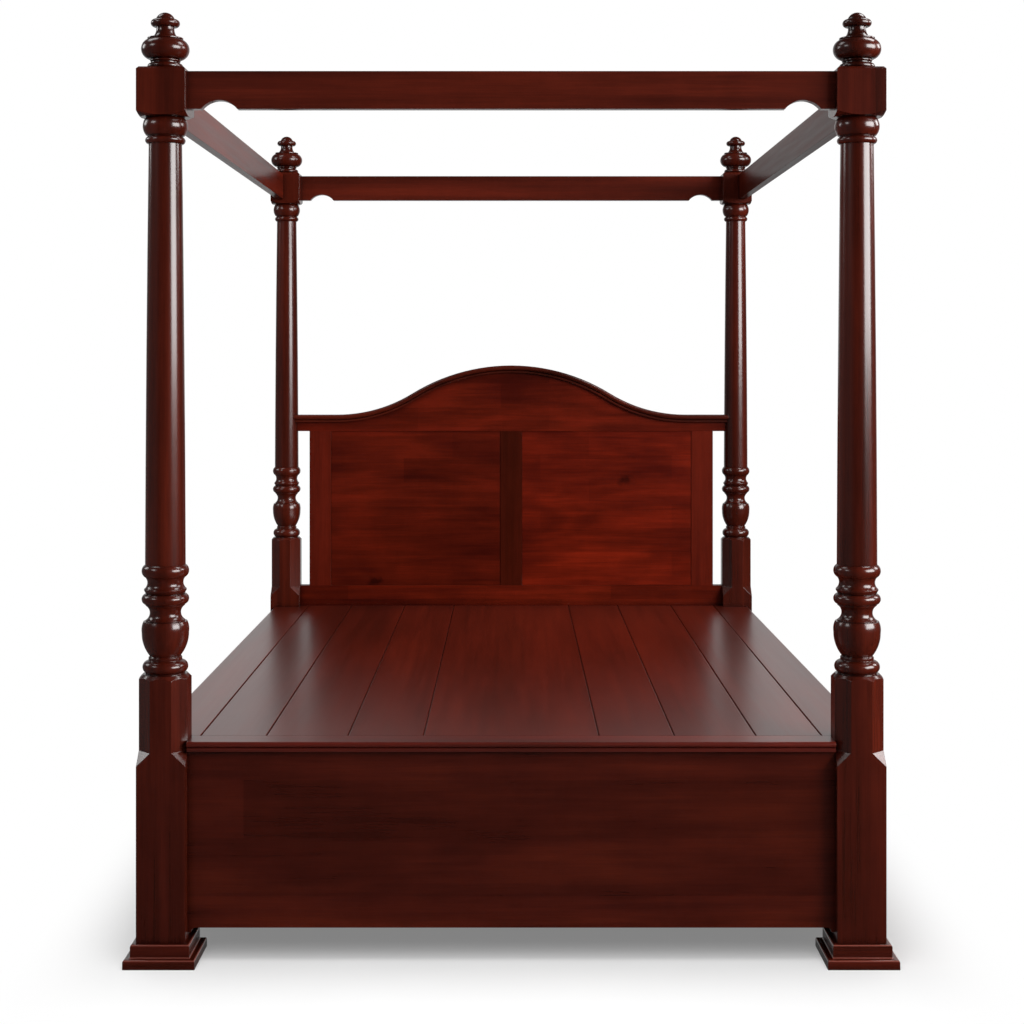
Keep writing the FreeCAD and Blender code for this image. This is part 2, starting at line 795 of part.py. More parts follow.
def make_foot_panel():
    """Deep plain panel between the foot posts, with a small drop beside each post at its lower edge."""
    body = new_sub_part("foot_panel", 0, -foot_panel_y, 0)
    reach = inner_x[FOOT]
    bottom = size.skirt_clearance
    drop = bottom - size.corner_drop
    inner = reach - size.corner_drop_width
    outline = [
        (-reach, drop),
        (-inner - size.corner_drop, drop),
        (-inner, bottom, -QUARTER_BULGE),
        (inner, bottom),
        (inner + size.corner_drop, drop, -QUARTER_BULGE),
        (reach, drop),
        (reach, deck_under),
        (-reach, deck_under),
    ]
    pad(body, "board", new_sketch(body, "XZ_Plane", "outline", outline), size.panel_thickness)
    add_end_tenons(body, reach, skirt_tenon_z)


def make_head_panel():
    """Plain end panel under the headboard's bottom rail."""
    body = new_sub_part("head_end_panel", 0, headboard_y, 0)
    reach = inner_x[HEAD]
    z = (size.skirt_clearance, bottom_rail_foot)
    y = (-size.panel_thickness / 2, size.panel_thickness / 2)
    block_feature(body, "Additive", "board", (-reach, reach), y, z)
    add_end_tenons(body, reach, head_panel_tenon_z)


def make_side_rail(side):
    """Side board from post to post, with a steel hook plate let into each end."""
    body = new_sub_part(f"side_rail_{SIDE_NAMES[side]}", side * side_rail_x, 0, 0)
    x = (-size.side_rail_thickness / 2, size.side_rail_thickness / 2)
    y = (-inner_y[FOOT], inner_y[HEAD])
    block_feature(body, "Additive", "board", x, y, (size.skirt_clearance, deck_under))
    plate_x = (-size.plate_width / 2, size.plate_width / 2)
    plate_z = about(size.plate_height, size.plate_length)
    for end in (FOOT, HEAD):
        seat = toward(end, inner_y[end] - size.plate_thickness, inner_y[end])
        block_feature(body, "Subtractive", f"plate_seat_{END_NAMES[end]}", plate_x, seat, plate_z)


def hook_levels():
    """Heights of the two hooks on a plate, from the plate's middle."""
    return (-size.hook_spacing / 2, size.hook_spacing / 2)


def make_hook_plate(side, end):
    """Steel plate with two hooks that point into the post and drop behind the slotted plate."""
    body = new_body(f"hook_plate_{END_NAMES[end]}_{SIDE_NAMES[side]}",
                    side * side_rail_x, end * inner_y[end], size.plate_height)
    x = (-size.plate_width / 2, size.plate_width / 2)
    z = (-size.plate_length / 2, size.plate_length / 2)
    block_feature(body, "Additive", "plate", x, toward(end, -size.plate_thickness, 0), z)
    back = size.plate_thickness + size.slot_clearance
    tip = back + size.hook_lip_depth
    for count, level in enumerate(hook_levels()):
        hook = [
            (end * -size.plate_thickness / 2, level),
            (end * back, level),
            (end * back, level - size.hook_lip_drop),
            (end * tip, level - size.hook_lip_drop),
            (end * tip, level + size.hook_neck_height),
            (end * -size.plate_thickness / 2, level + size.hook_neck_height),
        ]
        pad(body, f"hook_{count}", new_sketch(body, "YZ_Plane", f"hook_outline_{count}", hook),
            size.hook_thickness)
    return body


def make_slot_plate(side, end):
    """Flat steel plate in the post with a tall slot for each hook."""
    body = new_body(f"slot_plate_{END_NAMES[end]}_{SIDE_NAMES[side]}",
                    side * side_rail_x, end * inner_y[end], size.plate_height)
    x = (-size.plate_width / 2, size.plate_width / 2)
    y = toward(end, 0, size.plate_thickness)
    block_feature(body, "Additive", "plate", x, y, (-size.plate_length / 2, size.plate_length / 2))
    slot_half = size.hook_thickness / 2 + size.slot_clearance
    for count, level in enumerate(hook_levels()):
        block_feature(body, "Subtractive", f"slot_{count}", (-slot_half, slot_half), y,
                      (level, level + size.slot_height))
    return body


def make_batten(label, x, y, z, along):
    """Plain timber with its long edges eased."""
    place = tuple((low + high) / 2 for low, high in (x, y, z))
    body = new_sub_part(label, *place)
    spans = [(low - middle, high - middle) for (low, high), middle in zip((x, y, z), place)]
    timber = block_feature(body, "Additive", "timber", *spans)
    chamfer_edges(body, "eased", timber, lambda edge: edge.Curve.Direction.cross(along).Length < 0.1,
                  size.eased_edge)


def make_understructure():
    """Ledgers, bearers, centre beam and legs that carry the deck."""
    along_x, along_y, along_z = Vector(1, 0, 0), Vector(0, 1, 0), Vector(0, 0, 1)
    play = size.joint_clearance
    ledger_z = (deck_under - size.ledger_height, deck_under)
    bearer_z = (deck_under - size.bearer_height, deck_under)
    side_ledger_z = (bearer_z[0] - size.ledger_height, bearer_z[0])
    beam_z = (bearer_z[0] - size.beam_height, bearer_z[0])

    foot_face = -(foot_panel_y - size.panel_thickness / 2)
    head_face = headboard_y - size.headboard_thickness / 2
    for label, end, y in (
        ("foot_ledger", FOOT, (foot_face, foot_face + size.ledger_width)),
        ("head_ledger", HEAD, (head_face - size.ledger_width, head_face)),
    ):
        reach = inner_x[end] - play
        make_batten(label, (-reach, reach), y, ledger_z, along_x)

    rail_face = side_rail_x - size.side_rail_thickness / 2
    side_span = (-inner_y[FOOT] + play, inner_y[HEAD] - play)
    for side in (LEFT, RIGHT):
        x = toward(side, rail_face - size.side_ledger_width, rail_face)
        make_batten(f"side_ledger_{SIDE_NAMES[side]}", x, side_span, side_ledger_z, along_y)

    first = foot_face + size.ledger_width
    clear = head_face - size.ledger_width - first
    count = int(size.bearer_count.number)
    for number in range(1, count + 1):
        y = about(first + clear * number / (size.bearer_count + 1), size.bearer_width)
        make_batten(f"cross_bearer_{number}", (-rail_face + play, rail_face - play), y, bearer_z, along_x)

    beam_x = (-size.beam_width / 2, size.beam_width / 2)
    make_batten("centre_beam", beam_x, (foot_face, head_face), beam_z, along_y)
    leg_x = (-size.leg_width / 2, size.leg_width / 2)
    beam_length = head_face - foot_face
    for number in range(1, int(size.leg_count.number) + 1):
        middle = foot_face + beam_length * number / (size.leg_count + 1)
        make_batten(f"centre_leg_{number}", leg_x, about(middle, size.leg_width), (0, beam_z[0]), along_z)


# Deck

deck_front = -(half_length - size.nosing_inset)
boards_front = deck_front + size.nosing_width + size.deck_gap
boards_back = headboard_y - size.headboard_thickness / 2 - size.deck_gap
boards_length = boards_back - boards_front
side_board_edge = half_width - size.deck_side_inset - size.side_board_width


def nosing_edge(face):
    """Moulded edge of the deck, up from its underside: a plain band, a quirk and a bead above it."""
    bead_height = size.deck_thickness - size.nosing_band_height - size.nosing_band_setback / 2
    bead_foot = size.deck_thickness - bead_height
    bead_bulge = 2 * size.nosing_bead_setback / bead_height
    return [
        (face - size.nosing_band_setback, 0),
        (face - size.nosing_band_setback, size.nosing_band_height),
        (face - size.nosing_bead_setback, bead_foot),
        (face - size.nosing_bead_setback, size.deck_thickness, bead_bulge),
    ]


def make_foot_nosing():
    """Moulded border of the deck between the foot posts."""
    body = new_sub_part("foot_nosing", 0, deck_front, deck_under)
    back = -size.nosing_width
    outline = mirrored([(back, 0)] + nosing_edge(0) + [(back, size.deck_thickness)])
    reach = inner_x[FOOT] - size.joint_clearance
    pad(body, "moulding", new_sketch(body, "YZ_Plane", "section", outline), 2 * reach)


def make_deck_board(label, middle, width):
    """Lengthwise board with both upper edges chamfered, so that two boards meet in a fine V."""
    body = new_sub_part(label, middle, boards_front + boards_length / 2, deck_under)
    half = (width - size.deck_gap) / 2
    chamfer = size.deck_joint_chamfer
    outline = [
        (-half, 0),
        (half, 0),
        (half, size.deck_thickness - chamfer),
        (half - chamfer, size.deck_thickness),
        (chamfer - half, size.deck_thickness),
        (-half, size.deck_thickness - chamfer),
    ]
    pad(body, "board", new_sketch(body, "XZ_Plane", "section", outline), boards_length)


def post_octagon(across, along):
    """Plan of a foot post's chamfered length, larger by the gap that the deck leaves round it."""
    flat = stock[FOOT] / 2 + size.deck_gap
    corner = stock[FOOT] / 2 - size.corner_chamfer + size.deck_gap * QUARTER_BULGE
    quarter = [(flat, corner), (corner, flat)]
    half = quarter + [(-x, y) for x, y in reversed(quarter)]
    return [(across + x, along + y) for x, y in half + [(-x, -y) for x, y in half]]


def make_deck_side_board(side):
    """Outer board: a V-joint inside, the moulded edge outside, and notches round both posts."""
    middle_y = boards_front + boards_length / 2
    body = new_sub_part(f"deck_side_board_{SIDE_NAMES[side]}", 0, middle_y, deck_under)
    near = side_board_edge + size.deck_gap / 2
    far = half_width - size.deck_side_inset
    chamfer = size.deck_joint_chamfer
    outline = [(near, 0)] + nosing_edge(far) + [
        (near + chamfer, size.deck_thickness),
        (near, size.deck_thickness - chamfer),
    ]
    if side == LEFT:
        outline = mirrored(outline)
    pad(body, "board", new_sketch(body, "XZ_Plane", "section", outline), boards_length)
    notch = post_octagon(side * axis_x[FOOT], -axis_y[FOOT] - middle_y)
    pocket(body, "foot_notch", new_sketch(body, "XY_Plane", "foot_octagon", notch), 4 * size.deck_thickness)
    head_x = toward(side, inner_x[HEAD] - size.deck_gap, half_width)
    head_y = (inner_y[HEAD] - size.deck_gap - middle_y, half_length - middle_y)
    block_feature(body, "Subtractive", "head_notch", head_x, head_y, (0, size.deck_thickness))


def make_deck():
    """Nosing and boards, laid from the sides inward; the centre board fills what the others leave."""
    make_foot_nosing()
    for side in (LEFT, RIGHT):
        make_deck_side_board(side)
        edge = side_board_edge
        widths = (size.outer_board_width, size.middle_board_width, size.inner_board_width)
        for name, width in zip(("outer", "middle", "inner"), widths):
            make_deck_board(f"deck_board_{name}_{SIDE_NAMES[side]}", side * (edge - width / 2), width)
            edge = edge - width
    make_deck_board("deck_board_centre", 0, 2 * edge)


# Headboard

stile_outer = inner_x[HEAD] - size.headboard_gap
stile_middle = stile_outer - size.stile_width / 2
opening_near = size.muntin_width / 2
opening_far = stile_outer - size.stile_width
board_half = size.headboard_thickness / 2
groove_depth = size.tongue_length + size.tongue_play
field_front = -board_half + size.field_recess
tongue_y = about(field_front + size.field_thickness / 2, size.tongue_thickness)
groove_y = grown(tongue_y, size.joint_clearance)
tenon_y = (-size.tenon_thickness / 2, size.tenon_thickness / 2)
frame_tenon_half = size.muntin_width / 2 - size.tenon_shoulder


def make_upright(label, middle, width, grooved_sides):
    """Stile or muntin with a tenon at each end and a groove for the panel in each grooved edge."""
    body = new_sub_part(label, middle, headboard_y, size.bottom_rail_top)
    half = width / 2
    between = (0, size.opening_height)
    block_feature(body, "Additive", "timber", (-half, half), (-board_half, board_half), between)
    for side in grooved_sides:
        x = toward(side, half - groove_depth, half)
        block_feature(body, "Subtractive", f"groove_{SIDE_NAMES[side]}", x, groove_y, between)
    x = (-frame_tenon_half, frame_tenon_half)
    block_feature(body, "Additive", "tenons", x, tenon_y, grown(between, size.tenon_length))


def cut_frame_joints(body, edge, inward):
    """Mortises for the uprights and grooves for the panels in one edge of a headboard rail."""
    mortise_reach = edge + inward * (size.tenon_length + size.joint_clearance)
    groove_reach = edge + inward * groove_depth
    mortise_z = (edge, mortise_reach) if inward > 0 else (mortise_reach, edge)
    groove_z = (edge, groove_reach) if inward > 0 else (groove_reach, edge)
    for count, middle in enumerate((-stile_middle, 0, stile_middle)):
        x = grown(about(as_dim(middle), 2 * frame_tenon_half), size.joint_clearance)
        y = grown(tenon_y, size.joint_clearance)
        block_feature(body, "Subtractive", f"mortise_{count}", x, y, mortise_z)
    for side in (LEFT, RIGHT):
        x = toward(side, *grown((opening_near, opening_far), groove_depth))
        block_feature(body, "Subtractive", f"groove_{SIDE_NAMES[side]}", x, groove_y, groove_z)


def make_bottom_rail():
    body = new_sub_part("headboard_bottom_rail", 0, headboard_y, 0)
    reach = inner_x[HEAD]
    block_feature(body, "Additive", "timber", (-reach, reach), (-board_half, board_half),
                  (bottom_rail_foot, size.bottom_rail_top))
    cut_frame_joints(body, size.bottom_rail_top, -1)
    add_end_tenons(body, reach, bottom_rail_tenon_z)


arch_chord_squared = size.arch_half_span * size.arch_half_span + size.arch_rise * size.arch_rise
arch_radius = arch_chord_squared / (2 * size.arch_rise)
crown_share = (arch_radius - size.arch_shoulder_radius) / arch_radius
crown_half_span = size.arch_half_span * crown_share
crown_rise = size.arch_rise * crown_share
shoulder_bulge = half_angle(size.arch_rise / size.arch_half_span)
crown_bulge = size.arch_rise / size.arch_half_span
crest_shelf = crest_foot + size.crest_end_height
crest_reach = axis_x[HEAD] - size.shaft_foot_radius * slimness[HEAD] / 2


def camelback(reach):
    """The crest's upper line from right to left: flat, hollow shoulder, crown, hollow shoulder, flat."""
    turn_level = crest_shelf + size.arch_rise - crown_rise
    return [
        (reach, crest_shelf),
        (size.arch_half_span, crest_shelf),
        (crown_half_span, turn_level, -shoulder_bulge),
        (-crown_half_span, turn_level, crown_bulge),
        (-size.arch_half_span, crest_shelf, -shoulder_bulge),
        (-reach, crest_shelf),
    ]


def cope_ends(body):
    """Hollows both ends of a headboard piece to sit against the round head columns."""
    for side in (LEFT, RIGHT):
        cut = body.newObject("PartDesign::SubtractiveCone", f"{body.Name}_cope_{SIDE_NAMES[side]}")
        spare = size.shaft_swell + size.joint_clearance
        bind(cut, "Radius1", size.shaft_foot_radius * slimness[HEAD] + spare)
        bind(cut, "Radius2", size.shaft_top_radius * slimness[HEAD] + spare)
        bind(cut, "Height", shaft_top - joint_z[HEAD])
        bind_place(cut, side * axis_x[HEAD], 0, joint_z[HEAD])


def make_crest_rail():
    body = new_sub_part("headboard_crest_rail", 0, headboard_y, 0)
    outline = [(-crest_reach, crest_foot), (crest_reach, crest_foot)] + camelback(crest_reach)
    pad(body, "board", new_sketch(body, "XZ_Plane", "outline", outline), size.headboard_thickness)
    cope_ends(body)
    cut_frame_joints(body, crest_foot, 1)
    shaft = size.shaft_foot_radius * slimness[HEAD]
    for side in (LEFT, RIGHT):
        tip = axis_x[HEAD] - shaft + size.crest_tenon_bite
        x = toward(side, axis_x[HEAD] - shaft - size.cut_margin, tip)
        block_feature(body, "Additive", f"tenon_{SIDE_NAMES[side]}", x, tenon_y, crest_tenon_z)


def make_crest_cap():
    """Moulding swept along the camelback, with a band and a bead on both faces."""
    body = new_sub_part("headboard_cap", 0, headboard_y, 0)
    line = new_sketch(body, "XZ_Plane", "line", camelback(crest_reach), closed=False)
    face = board_half + size.cap_overhang
    bead_height = size.cap_thickness - size.cap_band_height - size.cap_bead_setback / 4
    bead_bulge = 2 * size.cap_bead_setback / bead_height
    band = crest_shelf + size.cap_band_height
    bead_foot = crest_shelf + size.cap_thickness - bead_height
    top = crest_shelf + size.cap_thickness
    section = [
        (size.cap_band_setback - face, crest_shelf),
        (face - size.cap_band_setback, crest_shelf),
        (face - size.cap_band_setback, band),
        (face - size.cap_bead_setback, bead_foot),
        (face - size.cap_bead_setback, top, bead_bulge),
        (size.cap_bead_setback - face, top),
        (size.cap_bead_setback - face, bead_foot, bead_bulge),
        (size.cap_band_setback - face, band),
    ]
    profile = new_sketch(body, "YZ_Plane", "section", section, offset=crest_reach)
    doc.recompute()
    sweep = body.newObject("PartDesign::AdditivePipe", "headboard_cap_sweep")
    sweep.Profile = profile
    sweep.Spine = (line, [f"Edge{number}" for number in range(1, line.GeometryCount + 1)])
    cope_ends(body)


def make_field(side):
    """Flat panel with a thinner tongue all round that stands in the frame's grooves."""
    middle = side * (opening_near + opening_far) / 2
    body = new_sub_part(f"headboard_panel_{SIDE_NAMES[side]}", middle, headboard_y, size.bottom_rail_top)
    half = (opening_far - opening_near) / 2
    play = size.joint_clearance
    field_y = (field_front, field_front + size.field_thickness)
    field_x = (play - half, half - play)
    field_z = (play, size.opening_height - play)
    block_feature(body, "Additive", "field", field_x, field_y, field_z)
    block_feature(body, "Additive", "tongue", grown(field_x, size.tongue_length), tongue_y,
                  grown(field_z, size.tongue_length))


def make_headboard():
    make_bottom_rail()
    make_upright("headboard_stile_left", -stile_middle, size.stile_width, (RIGHT,))
    make_upright("headboard_muntin", 0, size.muntin_width, (LEFT, RIGHT))
    make_upright("headboard_stile_right", stile_middle, size.stile_width, (LEFT,))
    for side in (LEFT, RIGHT):
        make_field(side)
    make_crest_rail()
    make_crest_cap()


# Build, check and write

def build():
    for side, end in CORNERS:
        make_lower_post(side, end)
        make_column(side, end)
        make_plinth(side, end)
        make_finial(side, end)
    group("post_joint_studs", [make_stud(side, end) for side, end in CORNERS])
    for end in (FOOT, HEAD):
        make_end_canopy_rail(end)
    for side in (LEFT, RIGHT):
        make_side_canopy_rail(side)
        make_side_rail(side)
    make_foot_panel()
    make_head_panel()
    group("rail_hook_plates", [make_hook_plate(side, end) for side, end in CORNERS])
    group("post_slot_plates", [make_slot_plate(side, end) for side, end in CORNERS])
    make_understructure()
    make_deck()
    make_headboard()
    doc.recompute()


def check():
    """Stops if an object failed, a cut took nothing away or a shape is unsound."""
    cutting = ("PartDesign::Subtractive", "PartDesign::Pocket", "PartDesign::Groove")
    for thing in doc.Objects:
        if "Invalid" in thing.State or "Error" in thing.State:
            raise RuntimeError(f"{thing.Label} failed: {thing.State}")
        if thing.TypeId.startswith(cutting) and thing.Shape.Volume >= thing.BaseFeature.Shape.Volume:
            raise RuntimeError(f"{thing.Label} cut nothing away")
    for sub_part in sub_parts:
        if sub_part.Shape.isNull() or not sub_part.Shape.isValid():
            raise RuntimeError(f"{sub_part.Label} has no sound shape")


def write():
    os.makedirs("parts", exist_ok=True)
    for sub_part in sub_parts:
        sub_part.Shape.exportStep(f"parts/{sub_part.Label}.step")


build()
check()
write()
print(f"{len(sub_parts)} sub-parts written")
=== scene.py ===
import math

import bpy
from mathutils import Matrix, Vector


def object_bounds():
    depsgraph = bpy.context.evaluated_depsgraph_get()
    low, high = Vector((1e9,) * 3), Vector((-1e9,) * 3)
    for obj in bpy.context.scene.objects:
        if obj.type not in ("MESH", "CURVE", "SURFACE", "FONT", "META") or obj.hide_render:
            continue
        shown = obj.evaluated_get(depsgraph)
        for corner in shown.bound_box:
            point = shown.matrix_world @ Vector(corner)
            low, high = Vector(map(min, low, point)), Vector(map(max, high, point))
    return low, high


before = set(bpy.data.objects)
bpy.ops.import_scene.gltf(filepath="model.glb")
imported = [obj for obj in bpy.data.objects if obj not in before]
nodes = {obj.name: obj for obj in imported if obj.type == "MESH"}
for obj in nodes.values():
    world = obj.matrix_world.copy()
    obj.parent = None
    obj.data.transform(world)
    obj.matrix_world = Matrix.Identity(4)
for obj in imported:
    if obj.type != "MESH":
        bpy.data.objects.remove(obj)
bounds_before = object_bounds()


# Posts and finials
# Each post is two lengths of square mahogany, chamfered and turned, with a turned finial on its block. The
# grain runs up through foot, vase, column and block. The finish is a wiped red-brown stain under a
# semi-gloss lacquer, and painted shade darkens it in the recesses of the turnings.

def linear(colour):
    """A colour written as sRGB hex, as the linear values that the shaders take."""
    channels = [int(colour[place:place + 2], 16) / 255 for place in (1, 3, 5)]
    return [(c / 12.92 if c <= 0.04045 else ((c + 0.055) / 1.055) ** 2.4) for c in channels] + [1.0]


def add(tree, kind, inputs=None, **settings):
    """Adds a node, sets its options and fills its inputs with values or with other nodes' outputs."""
    node = tree.nodes.new(kind)
    for option, value in settings.items():
        setattr(node, option, value)
    for socket, value in (inputs or {}).items():
        if isinstance(value, bpy.types.NodeSocket):
            tree.links.new(value, node.inputs[socket])
        else:
            node.inputs[socket].default_value = value
    return node


def own_place(tree):
    """Object coordinates, shifted for each piece to a place of its own, so that no two boards match."""
    piece = add(tree, "ShaderNodeObjectInfo").outputs["Random"]
    place = add(tree, "ShaderNodeTexCoord").outputs["Object"]
    farthest = (17.0, 29.0, 11.0)
    shifted = {0: piece, 1: farthest, 2: place}
    return add(tree, "ShaderNodeVectorMath", shifted, operation="MULTIPLY_ADD").outputs[0]


def streaks(tree, grain, length, width, waviness, detail=2.0):
    """Noise drawn out along the grain, with the length and width of one streak in millimetres."""
    scale = [1000 / width] * 3
    scale["XYZ".index(grain)] = 1000 / length
    drawn_out = add(tree, "ShaderNodeMapping", {"Vector": own_place(tree), "Scale": scale}).outputs[0]
    inputs = {"Vector": drawn_out, "Scale": 1.0, "Detail": detail, "Roughness": 0.6, "Distortion": waviness}
    return add(tree, "ShaderNodeTexNoise", inputs).outputs["Fac"]


def shade(tree, colour, pattern, darkest, lightest, low=0.3, high=0.7):
    """A colour under a pattern, whose range from low to high becomes that of brightness."""
    inputs = {"Value": pattern, "From Min": low, "From Max": high, "To Min": darkest, "To Max": lightest}
    tone = add(tree, "ShaderNodeMapRange", inputs).outputs[0]
    layers = {0: 1.0, 6: colour, 7: tone}
    return add(tree, "ShaderNodeMix", layers, data_type="RGBA", blend_type="MULTIPLY").outputs[2]


def stain(tree, tone, dark, middle, light):
    """The wiped stain's colour, from where the wood took most of it to where it took least."""
    wiped = add(tree, "ShaderNodeValToRGB", {"Fac": tone})
    stops = wiped.color_ramp.elements
    stops.new(0.5)
    for stop, position, colour in zip(stops, (0.36, 0.50, 0.66), (dark, middle, light)):
        stop.position = position
        stop.color = linear(colour)
    return wiped.outputs["Color"]


def lacquer(tree, colour, figure, pores, gloss, blur):
    """The finish on the stained wood: satin wood with open pores, and a smooth clear coat over it. Edges
    are eased by about a millimetre, as sanding leaves them, so that they catch the light."""
    shader = tree.nodes["Principled BSDF"]
    tree.links.new(colour, shader.inputs["Base Color"])
    satin = {"Value": figure, "From Min": 0.3, "From Max": 0.7, "To Min": 0.30, "To Max": 0.40}
    tree.links.new(add(tree, "ShaderNodeMapRange", satin).outputs[0], shader.inputs["Roughness"])
    eased = add(tree, "ShaderNodeBevel", {"Radius": 0.0012}, samples=8).outputs[0]
    relief = {"Strength": 0.12, "Distance": 0.0004, "Height": pores, "Normal": eased}
    tree.links.new(add(tree, "ShaderNodeBump", relief).outputs[0], shader.inputs["Normal"])
    tree.links.new(eased, shader.inputs["Coat Normal"])
    shader.inputs["Specular IOR Level"].default_value = 0.02
    shader.inputs["Coat Weight"].default_value = gloss
    shader.inputs["Coat Roughness"].default_value = blur


def mahogany(name, grain, dark="#250803", middle="#360d05", light="#481408", gloss=0.85, blur=0.2,
             cloud_length=1430, figure_length=665, figure_share=0.35, waviness=0.2, details=()):
    """Stained and lacquered mahogany with its grain along one axis.

    Clouds as wide as a hand and long streaks between them give the stain's light and dark. The finest
    streaks are the pores, drawn about ten times as wide as real ones so that they show. Each piece has its
    own tone. Details such as staves or knots are laid over that, and painted shade darkens the recesses.
    Gloss is how strongly the clear coat mirrors, and blur is how softly."""
    material = bpy.data.materials.new(name)
    material.use_nodes = True
    tree = material.node_tree
    clouds = streaks(tree, grain, length=cloud_length, width=125, waviness=waviness)
    figure = streaks(tree, grain, length=figure_length, width=18, waviness=waviness, detail=4.0)
    pores = streaks(tree, grain, length=83, width=2.6, waviness=waviness)
    mottle = streaks(tree, grain, length=62, width=62, waviness=waviness)
    piece = add(tree, "ShaderNodeObjectInfo").outputs["Random"]
    # Painted shade: ambient occlusion marks the recesses and inner corners, where shade falls.
    painted_recess_shade = add(tree, "ShaderNodeAmbientOcclusion", {"Distance": 0.018}, samples=4).outputs["AO"]
    tone = add(tree, "ShaderNodeMix", {0: figure_share, 2: clouds, 3: figure}).outputs[0]
    colour = stain(tree, tone, dark, middle, light)
    colour = shade(tree, colour, pores, darkest=0.86, lightest=1.1)
    colour = shade(tree, colour, mottle, darkest=0.94, lightest=1.06)
    colour = shade(tree, colour, piece, darkest=0.92, lightest=1.08, low=0.0, high=1.0)
    for lay_over in details:
        colour = lay_over(tree, colour)
    # Painted shade is laid into the recesses, down to 0.4 of the colour.
    colour = shade(tree, colour, painted_recess_shade, darkest=0.4, lightest=1.0, low=0.35, high=0.95)
    lacquer(tree, colour, figure, pores, gloss, blur)
    return material


def dress(material, *prefixes):
    """Gives the material to every CAD node whose name starts so."""
    for name, node in nodes.items():
        if name.startswith(prefixes):
            node.data.materials.clear()
            node.data.materials.append(material)


dress(mahogany("post_mahogany", "Z"), "foot_post", "head_post", "foot_column", "head_column", "finial")


# Plinths
# Four lengths of stepped mahogany moulding are glued round each post's foot, mitred at the corners. Their
# grain runs round the post, so end grain shows nowhere, and their rounded noses carry fine pale lines of
# painted highlight.

def painted_nose_highlights(tree, colour):
    """A painted highlight: a pale colour on the rounded noses, where the face leans between upright and
    level.
    """
    facing = add(tree, "ShaderNodeNewGeometry").outputs["Normal"]
    upward = add(tree, "ShaderNodeSeparateXYZ", {0: facing}).outputs["Z"]
    lean = 0.65
    spread = 0.22
    nose_highlight = add(tree, "ShaderNodeMath", {0: upward, 1: lean, 2: spread}, operation="COMPARE").outputs[0]
    # The painted highlight's pale colour, laid over the noses.
    layers = {0: nose_highlight, 6: colour, 7: linear("#603028")}
    return add(tree, "ShaderNodeMix", layers, data_type="RGBA").outputs[2]


def dress_round(across, along, prefix):
    """Gives each mitred length round a post the material whose grain runs along that length."""
    for name, node in nodes.items():
        if name.startswith(prefix):
            dress(across, name)
            node.data.materials.append(along)
            middle = sum((Vector(corner) for corner in node.bound_box), Vector()) / len(node.bound_box)
            for face in node.data.polygons:
                offset = face.center - middle
                face.material_index = int(abs(offset.x) > abs(offset.y))


moulding = {"dark": "#270902", "middle": "#380e05", "light": "#4a1409", "gloss": 1.0,
            "details": [painted_nose_highlights]}
dress_round(mahogany("plinth_mahogany_across", "X", **moulding),
            mahogany("plinth_mahogany_along", "Y", **moulding), "plinth")


# Canopy rails
# Four straight boards on edge are tenoned into the blocks, with their grain along their length. Each has
# its own tone, and the sides are duller than the ends. The left one is lighter with painted light and the
# right one darker with painted shade, as the lamp on the right falls on them.

dress(mahogany("canopy_foot_mahogany", "X", dark="#310c06", middle="#431309", light="#571a0d"),
      "canopy_rail_foot")
dress(mahogany("canopy_head_mahogany", "X", dark="#2b0a04", middle="#3c1007", light="#4e160a"),
      "canopy_rail_head")
# Painted light: the left rail's tones are lighter.
dress(mahogany("canopy_left_painted_light_mahogany", "Y", dark="#350c05", middle="#4a1308", light="#5e1b0c", gloss=0.4),
      "canopy_rail_left")
# Painted shade: the right rail's tones are darker.
dress(mahogany("canopy_right_painted_shade_mahogany", "Y", dark="#2a0903", middle="#3b0f06", light="#4c1509", gloss=0.2),
      "canopy_rail_right")


# Base panels
# The deep foot panel is glued up from wide boards, so its tone changes softly in long level bands, and the
# end panel under the headboard is made the same way. The side boards hook into the posts, and the nosing is
# a moulded strip along the deck's front edge, rubbed like the deck.

def panel_face(tree):
    """A place on a panel's front, as across and up."""
    axes = add(tree, "ShaderNodeSeparateXYZ", {0: own_place(tree)}).outputs
    return add(tree, "ShaderNodeCombineXYZ", {0: axes["X"], 1: axes["Z"]}).outputs[0]


def staves(length, height):
    """A detail for mahogany: the tone steps of a panel glued up from staves of this size in millimetres."""
    def lay_over(tree, colour):
        inputs = {"Vector": panel_face(tree), "Scale": 1.0, "Mortar Size": 0.0,
                  "Brick Width": length / 1000, "Row Height": height / 1000,
                  "Color1": linear("#000000"), "Color2": linear("#ffffff")}
        tones = add(tree, "ShaderNodeTexBrick", inputs, offset=0.37).outputs["Color"]
        return shade(tree, colour, tones, darkest=0.8, lightest=1.2, low=0.0, high=1.0)
    return lay_over


# Each board is far longer than the panel, so an end seldom falls within it.
wide_boards = staves(length=6000, height=130)
dress(mahogany("foot_panel_mahogany", "X", dark="#300a04", middle="#3a0e05", light="#461306",
               cloud_length=455, details=[wide_boards]), "foot_panel", "head_end_panel")
dress(mahogany("side_rail_mahogany", "Y"), "side_rail")
rubbed = {"gloss": 1.0, "blur": 0.3}
dress(mahogany("nosing_mahogany", "X", dark="#320b04", middle="#480f06", light="#5d1708", **rubbed),
      "foot_nosing")


# Deck
# Nine long boards run from foot to head, each with its own tone, and meet in fine V-joints. They lie on the
# timber underneath. Their lacquer is rubbed, so it mirrors the bright background softly at a grazing angle.

dress(mahogany("deck_mahogany", "Y", dark="#350b03", middle="#420f05", light="#4f1407", **rubbed), "deck_")


# Headboard
# The panels and crest are glued up from short staves with lively figure, redder than the rest. The stiles
# and the muntin stand upright between them, and the muntin is the darkest piece. A moulded cap follows the
# crest's curve.

